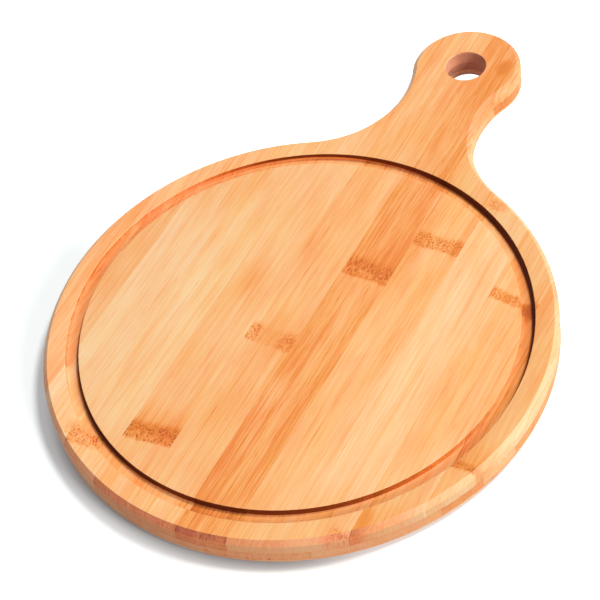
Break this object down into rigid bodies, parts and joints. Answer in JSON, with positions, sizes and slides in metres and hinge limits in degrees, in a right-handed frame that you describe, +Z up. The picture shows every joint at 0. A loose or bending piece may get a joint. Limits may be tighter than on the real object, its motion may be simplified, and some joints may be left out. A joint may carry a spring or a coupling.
{
  "type": "serving board",
  "caption": "Round serving board glued up from bamboo strips, with a juice groove near the rim, a short paddle handle and a hanging hole.",
  "frame": {"origin": "centre of the disc on the underside, where the board rests", "axes": "+Y along the handle, +Z up out of the grooved serving face, +X to the right seen from above with the handle pointing away"},
  "size_m": [0.22, 0.3043, 0.0142],
  "materials": {
    "bamboo_pale": "oiled satin bamboo, pale",
    "bamboo_honey": "oiled satin bamboo, honey",
    "bamboo_warm": "oiled satin bamboo, warm",
    "bamboo_amber": "oiled satin bamboo, amber",
    "bamboo_brown": "oiled satin bamboo, steamed brown"
  },
  "bodies": {
    "root": {"top_strip_01": "bamboo_warm", "top_strip_02": "bamboo_pale", "top_strip_03": "bamboo_honey", "top_strip_04": "bamboo_honey", "top_strip_05": "bamboo_warm", "top_strip_06": "bamboo_honey", "top_strip_07": "bamboo_amber", "top_strip_08": "bamboo_warm", "top_strip_09": "bamboo_pale", "top_strip_10": "bamboo_honey", "top_strip_11": "bamboo_warm", "core_strip_01": "bamboo_brown", "core_strip_02": "bamboo_warm", "core_strip_03": "bamboo_brown", "core_strip_04": "bamboo_brown", "core_strip_05": "bamboo_warm", "core_strip_06": "bamboo_brown", "core_strip_07": "bamboo_brown", "core_strip_08": "bamboo_warm", "core_strip_09": "bamboo_brown", "core_strip_10": "bamboo_brown", "core_strip_11": "bamboo_warm", "core_strip_12": "bamboo_brown", "core_strip_13": "bamboo_brown", "core_strip_14": "bamboo_warm", "core_strip_15": "bamboo_brown", "core_strip_16": "bamboo_brown", "core_strip_17": "bamboo_warm", "bottom_strip_01": "bamboo_honey", "bottom_strip_02": "bamboo_pale", "bottom_strip_03": "bamboo_warm", "bottom_strip_04": "bamboo_honey", "bottom_strip_05": "bamboo_honey", "bottom_strip_06": "bamboo_pale", "bottom_strip_07": "bamboo_warm", "bottom_strip_08": "bamboo_honey", "bottom_strip_09": "bamboo_honey", "bottom_strip_10": "bamboo_pale", "bottom_strip_11": "bamboo_warm"}
  },
  "joints": []
}
